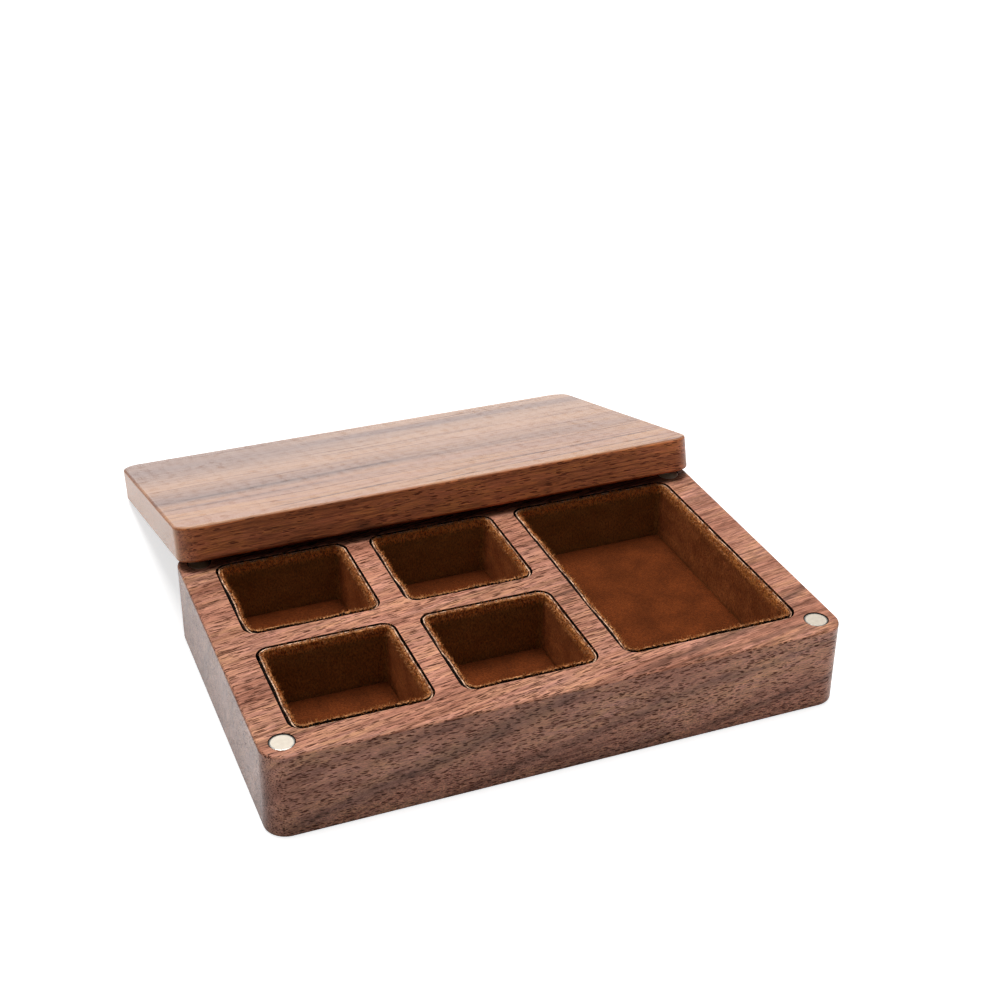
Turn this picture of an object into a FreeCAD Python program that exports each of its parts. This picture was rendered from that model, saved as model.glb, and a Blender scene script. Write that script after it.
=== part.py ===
"""Walnut ring box: a solid base with five velvet-lined pockets and a loose lid that magnets hold.

Millimetres. The origin is the centre of the base's underside, +X runs to the right along the
length, +Y to the back and +Z up. The lid is at rest where it leans on the base's back edge.
"""
import FreeCAD, Part
import Sketcher
import math
import os

doc = FreeCAD.newDocument("RingBox")

# ---------------------------------------------------------------- driving dimensions
SIZES = {
    "box_width": 100.0,           # along X, base and lid alike
    "box_depth": 62.6,            # along Y, base and lid alike
    "base_height": 15.4,
    "lid_thickness": 6.4,
    "corner_radius": 3.75,        # upright corners of base and lid
    "edge_round": 0.5,            # sanded edges round the top and bottom faces
    "rim_margin": 5.8,            # wood between the pockets and the outside
    "divider": 4.3,               # wood between two pockets
    "small_pocket_width": 23.85,  # along X, the four small pockets
    "pocket_depth": 12.0,         # from the rim down to the bare wood
    "pocket_radius": 2.5,         # the cutter's radius, left in each pocket's corners
    "pocket_edge_round": 0.2,     # sanded edge round each pocket's mouth
    "lining_gap": 0.2,            # between the wood and the lining's card
    "lining_recess": 0.2,         # the lining ends this far below the rim
    "card_thickness": 0.3,
    "glue_line": 0.04,            # between a card and its velvet
    "velvet_thickness": 0.65,
    "floor_fit": 0.1,             # between the wall velvet and the floor pad
    "seam_gap": 0.15,             # where the two ends of a wall strip meet
    "magnet_radius": 2.0,
    "magnet_height": 2.0,
    "magnet_inset": 3.8,          # from each outer face to a magnet's centre
    "magnet_clearance": 0.12,     # round a magnet in its hole
    "magnet_recess": 0.1,         # a magnet's face lies this far below the wood
    "lean_overlap": 7.0,          # how far the leaning lid reaches in over the base's back edge
    "lean_gap": 0.1,              # between the leaning lid and that edge
}

sheet = doc.addObject("Spreadsheet::Sheet", "Sizes")
for row, (alias, value) in enumerate(SIZES.items(), start=1):
    sheet.set(f"A{row}", str(value))
    sheet.setAlias(f"A{row}", alias)
doc.recompute()

# ---------------------------------------------------------------- expressions shared by the pieces
HALF_WIDTH = "(Sizes.box_width / 2)"
HALF_DEPTH = "(Sizes.box_depth / 2)"
SMALL_WIDTH = "Sizes.small_pocket_width"
SMALL_DEPTH = "((Sizes.box_depth - 2 * Sizes.rim_margin - Sizes.divider) / 2)"
LARGE_WIDTH = (
    "(Sizes.box_width - 2 * Sizes.rim_margin - 2 * Sizes.divider - 2 * Sizes.small_pocket_width)"
)
LARGE_DEPTH = "(Sizes.box_depth - 2 * Sizes.rim_margin)"
FLOOR_LEVEL = "(Sizes.base_height - Sizes.pocket_depth)"

LEFT_X = f"(Sizes.rim_margin + {SMALL_WIDTH} / 2 - {HALF_WIDTH})"
MIDDLE_X = f"({LEFT_X} + {SMALL_WIDTH} + Sizes.divider)"
RIGHT_X = f"({HALF_WIDTH} - Sizes.rim_margin - {LARGE_WIDTH} / 2)"
BACK_Y = f"((Sizes.divider + {SMALL_DEPTH}) / 2)"
FRONT_Y = f"(-{BACK_Y})"

# name, centre x and y, width and depth of each pocket cut in the wood
POCKETS = [
    ("back_left", LEFT_X, BACK_Y, SMALL_WIDTH, SMALL_DEPTH),
    ("back_middle", MIDDLE_X, BACK_Y, SMALL_WIDTH, SMALL_DEPTH),
    ("front_left", LEFT_X, FRONT_Y, SMALL_WIDTH, SMALL_DEPTH),
    ("front_middle", MIDDLE_X, FRONT_Y, SMALL_WIDTH, SMALL_DEPTH),
    ("right", RIGHT_X, "0", LARGE_WIDTH, LARGE_DEPTH),
]

MAGNET_X = f"({HALF_WIDTH} - Sizes.magnet_inset)"
MAGNET_Y = f"({HALF_DEPTH} - Sizes.magnet_inset)"
MAGNET_HOLE_RADIUS = "(Sizes.magnet_radius + Sizes.magnet_clearance)"
MAGNET_HOLE_DEPTH = "(Sizes.magnet_height + Sizes.magnet_recess)"
CORNERS = [
    ("front_left", -1, -1),
    ("front_right", 1, -1),
    ("back_left", -1, 1),
    ("back_right", 1, 1),
]

# The leaning lid touches two rounded edges: the base's back top edge, and the table with its own
# back edge. reach * sin(tilt) - rise * cos(tilt) = drop then gives the tilt.
LEAN_REACH = "(Sizes.box_depth - Sizes.lean_overlap - Sizes.edge_round)"
LEAN_RISE = "(2 * Sizes.edge_round + Sizes.lean_gap)"
LEAN_DROP = "(Sizes.base_height - 2 * Sizes.edge_round)"
TILT = f"(asin({LEAN_DROP} / sqrt({LEAN_REACH}^2 + {LEAN_RISE}^2)) + atan({LEAN_RISE} / {LEAN_REACH}))"
CONTACT_Y = f"(Sizes.lean_overlap - {HALF_DEPTH})"
LIFT = "(Sizes.edge_round + Sizes.lean_gap)"
LID_Y = f"({HALF_DEPTH} - Sizes.edge_round - {CONTACT_Y} * cos({TILT}) + {LIFT} * sin({TILT}))"
LID_Z = f"(Sizes.base_height - Sizes.edge_round + {CONTACT_Y} * sin({TILT}) + {LIFT} * cos({TILT}))"


# ---------------------------------------------------------------- helpers
RIGHT_ANGLE = math.pi / 2
SAME_PLACE = 0.001   # two heights this near each other are the same
SMALLEST_CUT = 0.01  # a pocket that takes away less than this, in cubic millimetres, cut nothing


def bind(obj, expressions):
    """Ties each property of obj to an expression of the sheet's cells."""
    for path, expression in expressions.items():
        obj.setExpression(path, expression)


def value_of(expression):
    """An expression's present number, for drawing a sketch near its final shape."""
    return float(sheet.evalExpression(expression))


def new_body(label):
    body = doc.addObject("PartDesign::Body", label)
    body.Label = label
    return body


def new_sketch(body, name, x="0", y="0", z="0"):
    """A sketch on the body's XY plane, its own origin moved to x, y, z."""
    sketch = body.newObject("Sketcher::SketchObject", name)
    plane = next(f for f in body.Origin.OriginFeatures if f.Role == "XY_Plane")
    sketch.AttachmentSupport = [(plane, "")]
    sketch.MapMode = "FlatFace"
    bind(sketch, {f"AttachmentOffset.Base.{axis}": place for axis, place in zip("xyz", (x, y, z))})
    return sketch


def name_constraint(sketch, index, name, expression):
    sketch.renameConstraint(index, name)
    sketch.setExpression(f"Constraints.{name}", expression)


def draw_rounded_rectangle(sketch, name, width, depth, radius):
    """A fully constrained rectangle with round corners, centred on the sketch's origin."""
    w, d, r = value_of(width) / 2, value_of(depth) / 2, value_of(radius)
    point = FreeCAD.Vector
    corners = [(w, -d), (w, d), (-w, d), (-w, -d)]
    starts = [(r - w, -d), (w, r - d), (w - r, d), (-w, d - r)]
    ends = [(w - r, -d), (w, d - r), (r - w, d), (-w, r - d)]
    first = sketch.GeometryCount
    for start, end in zip(starts, ends):
        sketch.addGeometry(Part.LineSegment(point(*start, 0), point(*end, 0)), False)
    for quarter, (x, y) in enumerate(corners):
        centre = point(x - r if x > 0 else x + r, y - r if y > 0 else y + r, 0)
        circle = Part.Circle(centre, point(0, 0, 1), r)
        turn = RIGHT_ANGLE * (quarter - 1)
        sketch.addGeometry(Part.ArcOfCircle(circle, turn, turn + RIGHT_ANGLE), False)
    lines = list(range(first, first + 4))
    arcs = list(range(first + 4, first + 8))
    for i in range(4):
        sketch.addConstraint(Sketcher.Constraint("Tangent", lines[i], 2, arcs[i], 1))
        sketch.addConstraint(Sketcher.Constraint("Tangent", arcs[i], 2, lines[(i + 1) % 4], 1))
        direction = "Horizontal" if i % 2 == 0 else "Vertical"
        sketch.addConstraint(Sketcher.Constraint(direction, lines[i]))
    for arc in arcs[1:]:
        sketch.addConstraint(Sketcher.Constraint("Equal", arcs[0], arc))
    sketch.addConstraint(Sketcher.Constraint("Symmetric", lines[0], 1, lines[2], 1, -1, 1))
    index = sketch.addConstraint(Sketcher.Constraint("Radius", arcs[0], r))
    name_constraint(sketch, index, f"{name}_radius", radius)
    index = sketch.addConstraint(Sketcher.Constraint("DistanceX", lines[3], 1, lines[1], 1, 2 * w))
    name_constraint(sketch, index, f"{name}_width", width)
    index = sketch.addConstraint(Sketcher.Constraint("DistanceY", lines[0], 1, lines[2], 2, 2 * d))
    name_constraint(sketch, index, f"{name}_depth", depth)


def draw_rectangle(sketch, name, width, depth):
    """A fully constrained rectangle, centred on the sketch's origin."""
    w, d = value_of(width) / 2, value_of(depth) / 2
    corners = [(-w, -d), (w, -d), (w, d), (-w, d)]
    for start, end in zip(corners, corners[1:] + corners[:1]):
        line = Part.LineSegment(FreeCAD.Vector(*start, 0), FreeCAD.Vector(*end, 0))
        sketch.addGeometry(line, False)
    for i in range(4):
        sketch.addConstraint(Sketcher.Constraint("Coincident", i, 2, (i + 1) % 4, 1))
        direction = "Horizontal" if i % 2 == 0 else "Vertical"
        sketch.addConstraint(Sketcher.Constraint(direction, i))
    sketch.addConstraint(Sketcher.Constraint("Symmetric", 0, 1, 2, 1, -1, 1))
    index = sketch.addConstraint(Sketcher.Constraint("DistanceX", 0, 1, 0, 2, 2 * w))
    name_constraint(sketch, index, f"{name}_width", width)
    index = sketch.addConstraint(Sketcher.Constraint("DistanceY", 1, 1, 1, 2, 2 * d))
    name_constraint(sketch, index, f"{name}_depth", depth)


def draw_four_circles(sketch, x, y, radius):
    """Four equal circles at (+-x, +-y), the last three tied to the first."""
    hole_x, hole_y, hole_radius = value_of(x), value_of(y), value_of(radius)
    for side, end in ((1, 1), (-1, 1), (-1, -1), (1, -1)):
        centre = FreeCAD.Vector(side * hole_x, end * hole_y, 0)
        circle = Part.Circle(centre, FreeCAD.Vector(0, 0, 1), hole_radius)
        sketch.addGeometry(circle, False)
    sketch.addConstraint(Sketcher.Constraint("Symmetric", 0, 3, 1, 3, -2))
    sketch.addConstraint(Sketcher.Constraint("Symmetric", 0, 3, 2, 3, -1, 1))
    sketch.addConstraint(Sketcher.Constraint("Symmetric", 0, 3, 3, 3, -1))
    for other in (1, 2, 3):
        sketch.addConstraint(Sketcher.Constraint("Equal", 0, other))
    index = sketch.addConstraint(Sketcher.Constraint("DistanceX", -1, 1, 0, 3, hole_x))
    name_constraint(sketch, index, "hole_x", x)
    index = sketch.addConstraint(Sketcher.Constraint("DistanceY", -1, 1, 0, 3, hole_y))
    name_constraint(sketch, index, "hole_y", y)
    index = sketch.addConstraint(Sketcher.Constraint("Radius", 0, hole_radius))
    name_constraint(sketch, index, "hole_radius", radius)


def pad(body, sketch, name, length):
    feature = body.newObject("PartDesign::Pad", name)
    feature.Profile = sketch
    bind(feature, {"Length": length})
    sketch.Visibility = False
    doc.recompute()
    return feature


def pocket(body, sketch, name, length, upwards=False):
    """Cuts the sketch down into the body, or upwards from its underside."""
    before = body.Shape.Volume
    feature = body.newObject("PartDesign::Pocket", name)
    feature.Profile = sketch
    feature.Reversed = upwards
    bind(feature, {"Length": length})
    sketch.Visibility = False
    doc.recompute()
    if body.Shape.Volume > before - SMALLEST_CUT:
        raise RuntimeError(f"{name} cuts nothing from {body.Label}")
    return feature


def fillet(body, name, edges, radius):
    base = body.Tip
    feature = body.newObject("PartDesign::Fillet", name)
    feature.Base = (base, edges)
    bind(feature, {"Radius": radius})
    doc.recompute()
    return feature


def edges_at_height(shape, height, inside=None):
    """The names of the edges that lie flat at a height, within a box (half width, half depth)."""
    found = []
    for number, edge in enumerate(shape.Edges, start=1):
        box = edge.BoundBox
        if abs(box.ZMin - height) > SAME_PLACE or abs(box.ZMax - height) > SAME_PLACE:
            continue
        reach = (max(-box.XMin, box.XMax), max(-box.YMin, box.YMax))
        if inside is None or (reach[0] < inside[0] and reach[1] < inside[1]):
            found.append(f"Edge{number}")
    return found


# ---------------------------------------------------------------- base block
def make_slab(label, height):
    """A rectangular board with round corners and sanded edges, as the base and the lid start out."""
    body = new_body(label)
    outline = new_sketch(body, f"{label}_outline")
    draw_rounded_rectangle(outline, "outline", "Sizes.box_width", "Sizes.box_depth",
                           "Sizes.corner_radius")
    slab = pad(body, outline, f"{label}_slab", height)
    top = value_of(height)
    edges = edges_at_height(slab.Shape, 0) + edges_at_height(slab.Shape, top)
    fillet(body, f"{label}_sanded_edges", edges, "Sizes.edge_round")
    return body


def make_base_block():
    """The block: five pockets milled from the top, rounded mouths and four magnet holes."""
    body = make_slab("base_block", "Sizes.base_height")
    for name, x, y, width, depth in POCKETS:
        sketch = new_sketch(body, f"pocket_{name}_outline", x, y, "Sizes.base_height")
        draw_rounded_rectangle(sketch, "cut", width, depth, "Sizes.pocket_radius")
        pocket(body, sketch, f"pocket_{name}", "Sizes.pocket_depth")
    mouth = (value_of(HALF_WIDTH) - value_of("Sizes.rim_margin") + SAME_PLACE,
             value_of(HALF_DEPTH) - value_of("Sizes.rim_margin") + SAME_PLACE)
    rims = edges_at_height(body.Tip.Shape, value_of("Sizes.base_height"), mouth)
    fillet(body, "pocket_mouths", rims, "Sizes.pocket_edge_round")
    holes = new_sketch(body, "base_magnet_hole_circles", z="Sizes.base_height")
    draw_four_circles(holes, MAGNET_X, MAGNET_Y, MAGNET_HOLE_RADIUS)
    pocket(body, holes, "base_magnet_holes", MAGNET_HOLE_DEPTH)
    return body


# ---------------------------------------------------------------- lid board
def on_lid(height):
    """Placement of a piece of the lid that starts this far above the lid's underside."""
    return {
        "Placement.Rotation.Angle": f"-{TILT}",
        "Placement.Base.y": f"{LID_Y} + {height} * sin({TILT})",
        "Placement.Base.z": f"{LID_Z} + {height} * cos({TILT})",
    }


def lean(piece, expressions):
    """Turns a piece about the X axis into the leaning lid's place."""
    piece.Placement = FreeCAD.Placement(
        FreeCAD.Vector(), FreeCAD.Rotation(FreeCAD.Vector(1, 0, 0), -value_of(TILT)))
    bind(piece, expressions)


def make_lid_board():
    """The lid: a plain board of the base's outline with four magnet holes in its underside."""
    body = make_slab("lid_board", "Sizes.lid_thickness")
    holes = new_sketch(body, "lid_magnet_hole_circles")
    draw_four_circles(holes, MAGNET_X, MAGNET_Y, MAGNET_HOLE_RADIUS)
    pocket(body, holes, "lid_magnet_holes", MAGNET_HOLE_DEPTH, upwards=True)
    lean(body, on_lid("0"))
    return body


# ---------------------------------------------------------------- magnets
def make_magnet(label):
    magnet = doc.addObject("Part::Cylinder", label)
    magnet.Label = label
    bind(magnet, {"Radius": "Sizes.magnet_radius", "Height": "Sizes.magnet_height"})
    return magnet


def make_base_magnet(corner, side, end):
    """A disc glued in the base, its face just below the rim."""
    magnet = make_magnet(f"base_magnet_{corner}")
    bind(magnet, {
        "Placement.Base.x": f"{side} * {MAGNET_X}",
        "Placement.Base.y": f"{end} * {MAGNET_Y}",
        "Placement.Base.z": f"Sizes.base_height - {MAGNET_HOLE_DEPTH}",
    })
    return magnet


def make_lid_magnet(corner, side, end):
    """A disc glued in the lid, its face just inside the underside, tilted with the lid."""
    magnet = make_magnet(f"lid_magnet_{corner}")
    place = on_lid("Sizes.magnet_recess")
    place["Placement.Base.x"] = f"{side} * {MAGNET_X}"
    place["Placement.Base.y"] += f" + {end} * {MAGNET_Y} * cos({TILT})"
    place["Placement.Base.z"] += f" - {end} * {MAGNET_Y} * sin({TILT})"
    lean(magnet, place)
    return magnet


# ---------------------------------------------------------------- linings
CARD_INSET = "Sizes.lining_gap"
VELVET_INSET = f"({CARD_INSET} + Sizes.card_thickness + Sizes.glue_line)"
CLEAR_INSET = f"({VELVET_INSET} + Sizes.velvet_thickness)"
FLOOR_INSET = f"({CLEAR_INSET} + Sizes.floor_fit)"
STRIP_HEIGHT = "(Sizes.pocket_depth - Sizes.lining_recess)"


def place_in_pocket(body, x, y, z):
    bind(body, {"Placement.Base.x": x, "Placement.Base.y": y, "Placement.Base.z": z})


def make_wall_strip(label, cut, outside, thickness):
    """A strip bent round the inside of a pocket, its ends meeting in the front right corner."""
    _, x, y, width, depth = cut
    body = new_body(label)
    rings = new_sketch(body, f"{label}_rings")
    inside = f"({outside} + {thickness})"
    for ring, inset in (("outer", outside), ("inner", inside)):
        draw_rounded_rectangle(rings, ring, f"{width} - 2 * {inset}", f"{depth} - 2 * {inset}",
                               f"Sizes.pocket_radius - {inset}")
    pad(body, rings, f"{label}_strip", STRIP_HEIGHT)
    seam_x = f"({width} / 2 - Sizes.pocket_radius)"
    seam_y = f"({outside} + {thickness} / 2 - {depth} / 2)"
    seam = new_sketch(body, f"{label}_seam_outline", seam_x, seam_y, STRIP_HEIGHT)
    draw_rectangle(seam, "seam", "Sizes.seam_gap", f"2 * {thickness}")
    pocket(body, seam, f"{label}_seam", STRIP_HEIGHT)
    place_in_pocket(body, x, y, FLOOR_LEVEL)
    return body


def make_floor_plate(label, cut, level, thickness):
    """A flat piece that lies inside the wall strips."""
    _, x, y, width, depth = cut
    body = new_body(label)
    outline = new_sketch(body, f"{label}_outline")
    draw_rounded_rectangle(outline, "outline", f"{width} - 2 * {FLOOR_INSET}",
                           f"{depth} - 2 * {FLOOR_INSET}", f"Sizes.pocket_radius - {FLOOR_INSET}")
    pad(body, outline, f"{label}_plate", thickness)
    place_in_pocket(body, x, y, level)
    return body


def make_lining(cut):
    """One pocket's lining: velvet on card, as a strip round the walls and a pad on the floor."""
    name = cut[0]
    velvet_level = f"({FLOOR_LEVEL} + Sizes.card_thickness)"
    return [
        make_wall_strip(f"wall_card_{name}", cut, CARD_INSET, "Sizes.card_thickness"),
        make_wall_strip(f"wall_velvet_{name}", cut, VELVET_INSET, "Sizes.velvet_thickness"),
        make_floor_plate(f"floor_card_{name}", cut, FLOOR_LEVEL, "Sizes.card_thickness"),
        make_floor_plate(f"floor_velvet_{name}", cut, velvet_level, "Sizes.velvet_thickness"),
    ]


# ---------------------------------------------------------------- the whole box
pieces = [make_base_block(), make_lid_board()]
for corner, side, end in CORNERS:
    pieces.append(make_base_magnet(corner, side, end))
    pieces.append(make_lid_magnet(corner, side, end))
for cut in POCKETS:
    pieces.extend(make_lining(cut))
doc.recompute()

for obj in doc.Objects:
    if "Invalid" in obj.State or "Error" in obj.State:
        raise RuntimeError(f"{obj.Label} failed: {obj.State}")
for piece in pieces:
    if piece.Shape.isNull() or not piece.Shape.isValid() or len(piece.Shape.Solids) != 1:
        raise RuntimeError(f"{piece.Label} isn't one valid solid")

os.makedirs("parts", exist_ok=True)
for piece in pieces:
    piece.Shape.exportStep(f"parts/{piece.Label}.step")
    box = piece.Shape.BoundBox
    print(f"{piece.Label:26} volume {piece.Shape.Volume:10.2f}"
          f"  x {box.XMin:7.2f} {box.XMax:7.2f}  y {box.YMin:7.2f} {box.YMax:7.2f}"
          f"  z {box.ZMin:6.2f} {box.ZMax:6.2f}")
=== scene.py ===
"""Looks of a walnut ring box: a solid base with five velvet-lined pockets and a loose leaning lid."""
import bpy
import math
import random
from mathutils import Matrix, Vector, noise


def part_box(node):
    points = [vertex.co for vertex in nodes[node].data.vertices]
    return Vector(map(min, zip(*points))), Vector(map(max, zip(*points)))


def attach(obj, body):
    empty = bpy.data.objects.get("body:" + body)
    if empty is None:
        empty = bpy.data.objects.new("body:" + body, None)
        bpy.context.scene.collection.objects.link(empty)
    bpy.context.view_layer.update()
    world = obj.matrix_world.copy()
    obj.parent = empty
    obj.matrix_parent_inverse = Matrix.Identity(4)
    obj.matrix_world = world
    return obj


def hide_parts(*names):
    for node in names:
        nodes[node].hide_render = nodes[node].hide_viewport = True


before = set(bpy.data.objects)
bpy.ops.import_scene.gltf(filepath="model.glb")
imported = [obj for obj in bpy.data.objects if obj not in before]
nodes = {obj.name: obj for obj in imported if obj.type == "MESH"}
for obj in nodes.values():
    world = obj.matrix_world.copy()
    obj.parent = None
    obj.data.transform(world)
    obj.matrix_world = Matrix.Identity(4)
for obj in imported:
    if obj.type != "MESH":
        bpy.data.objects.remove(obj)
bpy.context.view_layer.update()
MM = 0.001


# ============================================================ base block
# One board of walnut, 15.4 mm thick, with five pockets milled from the top and its edges sanded.
# The grain runs a few degrees off the length, so the pores show as streaks on top and as short
# dashes on the front, and a satin oil gives the ends a pale gloss at a low angle.
def srgb(red, green, blue):
    """A colour in 0 to 255 values, as the linear colour that a shader wants."""
    linear = [c / 12.92 if c <= 0.04045 else ((c + 0.055) / 1.055) ** 2.4
              for c in (red / 255, green / 255, blue / 255)]
    return (*linear, 1.0)


def grey(value):
    return (value, value, value, 1.0)


def new_material(name):
    material = bpy.data.materials.new(name)
    material.use_nodes = True
    material.node_tree.nodes.clear()
    return material


def add(tree, kind, inputs=None, **settings):
    """A new node with its settings, each input given a value or linked to another node's socket."""
    made = tree.nodes.new(kind)
    for setting, value in settings.items():
        setattr(made, setting, value)
    for name, value in (inputs or {}).items():
        if isinstance(value, bpy.types.NodeSocket):
            tree.links.new(value, made.inputs[name])
        else:
            made.inputs[name].default_value = value
    return made


def maths(tree, operation, first, second=0.0, third=0.0):
    return add(tree, "ShaderNodeMath", {0: first, 1: second, 2: third}, operation=operation).outputs[0]


def ramp(tree, factor, *stops):
    """A colour ramp through (position, colour) stops."""
    made = add(tree, "ShaderNodeValToRGB", {"Fac": factor})
    while len(made.color_ramp.elements) < len(stops):
        made.color_ramp.elements.new(1.0)
    for element, (position, colour) in zip(made.color_ramp.elements, stops):
        element.position = position
        element.color = grey(colour) if isinstance(colour, (int, float)) else colour
    return made.outputs["Color"]


def mix(tree, factor, first, second, blend="MIX"):
    made = add(tree, "ShaderNodeMix", data_type="RGBA", blend_type=blend)
    for socket, value in ((made.inputs[0], factor), (made.inputs[6], first), (made.inputs[7], second)):
        if isinstance(value, bpy.types.NodeSocket):
            tree.links.new(value, socket)
        else:
            socket.default_value = value
    return made.outputs[2]


def in_widths(tree, value, width):
    """How far a value is from 0, in widths."""
    return maths(tree, "DIVIDE", maths(tree, "ABSOLUTE", value), width)


def shaded(tree, factor, colour, shade):
    """A colour multiplied by a shade, as far as the factor says."""
    return mix(tree, factor, colour, mix(tree, 1.0, colour, shade, "MULTIPLY"))


def split(tree, vector):
    return add(tree, "ShaderNodeSeparateXYZ", {"Vector": vector}).outputs


def coordinates(tree, kind="Object"):
    return add(tree, "ShaderNodeTexCoord").outputs[kind]


def grain_noise(tree, place, lengths, detail=2.0, rough=0.5):
    """Noise whose features have the given lengths, in the same units as the place."""
    scaled = add(tree, "ShaderNodeMapping", {"Vector": place, "Scale": [1 / s for s in lengths]})
    texture = add(tree, "ShaderNodeTexNoise",
                  {"Vector": scaled.outputs[0], "Scale": 1.0, "Detail": detail, "Roughness": rough})
    return texture.outputs["Fac"]


def span_share(tree, value, unit=1.0):
    """A place from -50 to 50 mm as 0 to 1. unit is how many metres one of the value's units is."""
    return maths(tree, "MULTIPLY_ADD", value, unit / (100 * MM), 0.5)


def board_turn(grain, rings):
    """The rotation that brings the grain to X and the way across the rings to Y."""
    along = Vector(grain).normalized()
    across = Vector(rings)
    across = (across - across.dot(along) * along).normalized()
    return Matrix((along, across, along.cross(across))).to_euler()


def walnut(name, turn, shift, run_out, wander, tones, streak, band, pore_share,
           faint=0.0, lean=0.0, extra=None):
    """Walnut as a solid pattern in millimetres, so that top, front and end grain agree.

    turn and shift set the board's own frame: X along the grain, Y across the rings. run_out and
    wander bend the rings across the grain. tones are the light, pink, middle, dark and pore colours.
    streak and band are (width across, low, high): how wide the fine and the broad bands are, and
    between which noise levels they fade to light. band ends with how deep its dark is. faint is how
    far the top's pores fade out toward the right end. The oil is rubbed off the rounded edges round
    a top that is tipped back by lean. extra adds what only this board has."""
    material = new_material(name)
    tree = material.node_tree
    light, pink, middle, dark, pore_colour = tones
    where = coordinates(tree)
    board = add(tree, "ShaderNodeMapping", {"Vector": where, "Rotation": turn, "Location": shift,
                                            "Scale": (1 / MM, 1 / MM, 1 / MM)}).outputs[0]
    x, y, z = split(tree, board)

    # the rings wander along the board, and run out of line with the pores a little
    slow = grain_noise(tree, board, (55, 18, 18), 1.0)
    quick = grain_noise(tree, board, (10, 4, 4), 2.0)
    ring_y = maths(tree, "MULTIPLY_ADD", x, run_out, y)
    ring_y = maths(tree, "MULTIPLY_ADD", slow, wander[0], ring_y)
    ring_y = maths(tree, "MULTIPLY_ADD", quick, wander[1], ring_y)
    ringed = add(tree, "ShaderNodeCombineXYZ", {0: x, 1: ring_y, 2: z}).outputs[0]

    broad = grain_noise(tree, ringed, (110, band[0], 60), 2.0, 0.5)
    tone = grain_noise(tree, board, (30, 5, 8), 3.0, 0.55)
    warm = grain_noise(tree, board, (7, 1.4, 1.4), 3.0, 0.6)
    figure = mix(tree, ramp(tree, warm, (0.38, 0), (0.62, 1)), light, pink)
    figure = mix(tree, ramp(tree, tone, (0.35, 1), (0.65, 0)), figure, middle)
    figure = mix(tree, ramp(tree, broad, (band[1], band[3]), (band[2], 0)), figure, dark)
    fine = grain_noise(tree, ringed, (15, streak[0], streak[0] * 2.5), 5.0, 0.7)
    figure = mix(tree, ramp(tree, fine, (streak[1], 0.8), (streak[2], 0)), figure, dark)

    # fibres, then open pores: long thin cells, cut as dashes on the faces and as dots on the ends
    fibre = grain_noise(tree, board, (3.2, 0.20, 0.20), 3.0, 0.7)
    figure = mix(tree, 1.0, figure, ramp(tree, fibre, (0.28, 0.52), (0.5, 1.0), (0.72, 1.42)), "MULTIPLY")
    crowd = ramp(tree, grain_noise(tree, ringed, (22, 1.8, 4), 2.0), (0.35, 0.6), (0.55, 1.0))
    pore = 0.0
    for length, width, share in ((3.3, 0.36, pore_share), (2.5, 0.27, pore_share * 0.9)):
        cells = add(tree, "ShaderNodeMapping",
                    {"Vector": board, "Scale": (1 / length, 1 / width, 1 / width)}).outputs[0]
        pores = add(tree, "ShaderNodeTexVoronoi", {"Vector": cells, "Scale": 1.0}, feature="F1")
        luck = add(tree, "ShaderNodeSeparateColor", {"Color": pores.outputs["Color"]}).outputs[0]
        open_here = maths(tree, "GREATER_THAN", maths(tree, "MULTIPLY", crowd, share), luck)
        cell = ramp(tree, pores.outputs["Distance"], (0.26, 1), (0.31, 0))
        pore = maths(tree, "MAXIMUM", pore, maths(tree, "MULTIPLY", cell, open_here))
    normal = coordinates(tree, "Normal")
    on_top = ramp(tree, split(tree, normal)[2], (0.5, 0), (0.9, 1))
    fading = ramp(tree, span_share(tree, split(tree, where)[0]), (0.60, 0), (0.90, faint))
    fading = maths(tree, "MULTIPLY", on_top, fading)
    pore = maths(tree, "MULTIPLY", pore, maths(tree, "SUBTRACT", 1.0, fading))
    figure = mix(tree, maths(tree, "MULTIPLY", pore, 0.92), figure, pore_colour)
    if extra:
        figure = extra(tree, where, figure)

    height = maths(tree, "MULTIPLY_ADD", pore, -1.0, maths(tree, "MULTIPLY", fibre, 0.7))
    bump = add(tree, "ShaderNodeBump", {"Height": height, "Strength": 0.7, "Distance": 0.05 * MM})
    upward = add(tree, "ShaderNodeVectorMath", {0: normal, 1: (0, math.sin(lean), math.cos(lean))},
                 operation="DOT_PRODUCT").outputs["Value"]
    oil = ramp(tree, maths(tree, "ABSOLUTE", upward), (0.10, 1.0), (0.35, 0.12), (0.965, 0.12), (0.995, 1.0))
    oil = maths(tree, "MULTIPLY", oil, ramp(tree, maths(tree, "ADD", upward, 1.0), (0.1, 0.1), (0.6, 1.0)))
    oil = maths(tree, "MULTIPLY", oil, maths(tree, "SUBTRACT", 1.0, pore))
    surface = add(tree, "ShaderNodeBsdfPrincipled",
                  {"Base Color": figure, "Normal": bump.outputs[0], "IOR": 1.3, "Specular IOR Level": 0.2,
                   "Roughness": ramp(tree, fibre, (0.3, 0.58), (0.7, 0.46)),
                   "Coat Weight": oil, "Coat IOR": 1.33, "Coat Roughness": 0.26})
    add(tree, "ShaderNodeOutputMaterial", {"Surface": surface.outputs[0]})
    return material


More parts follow.
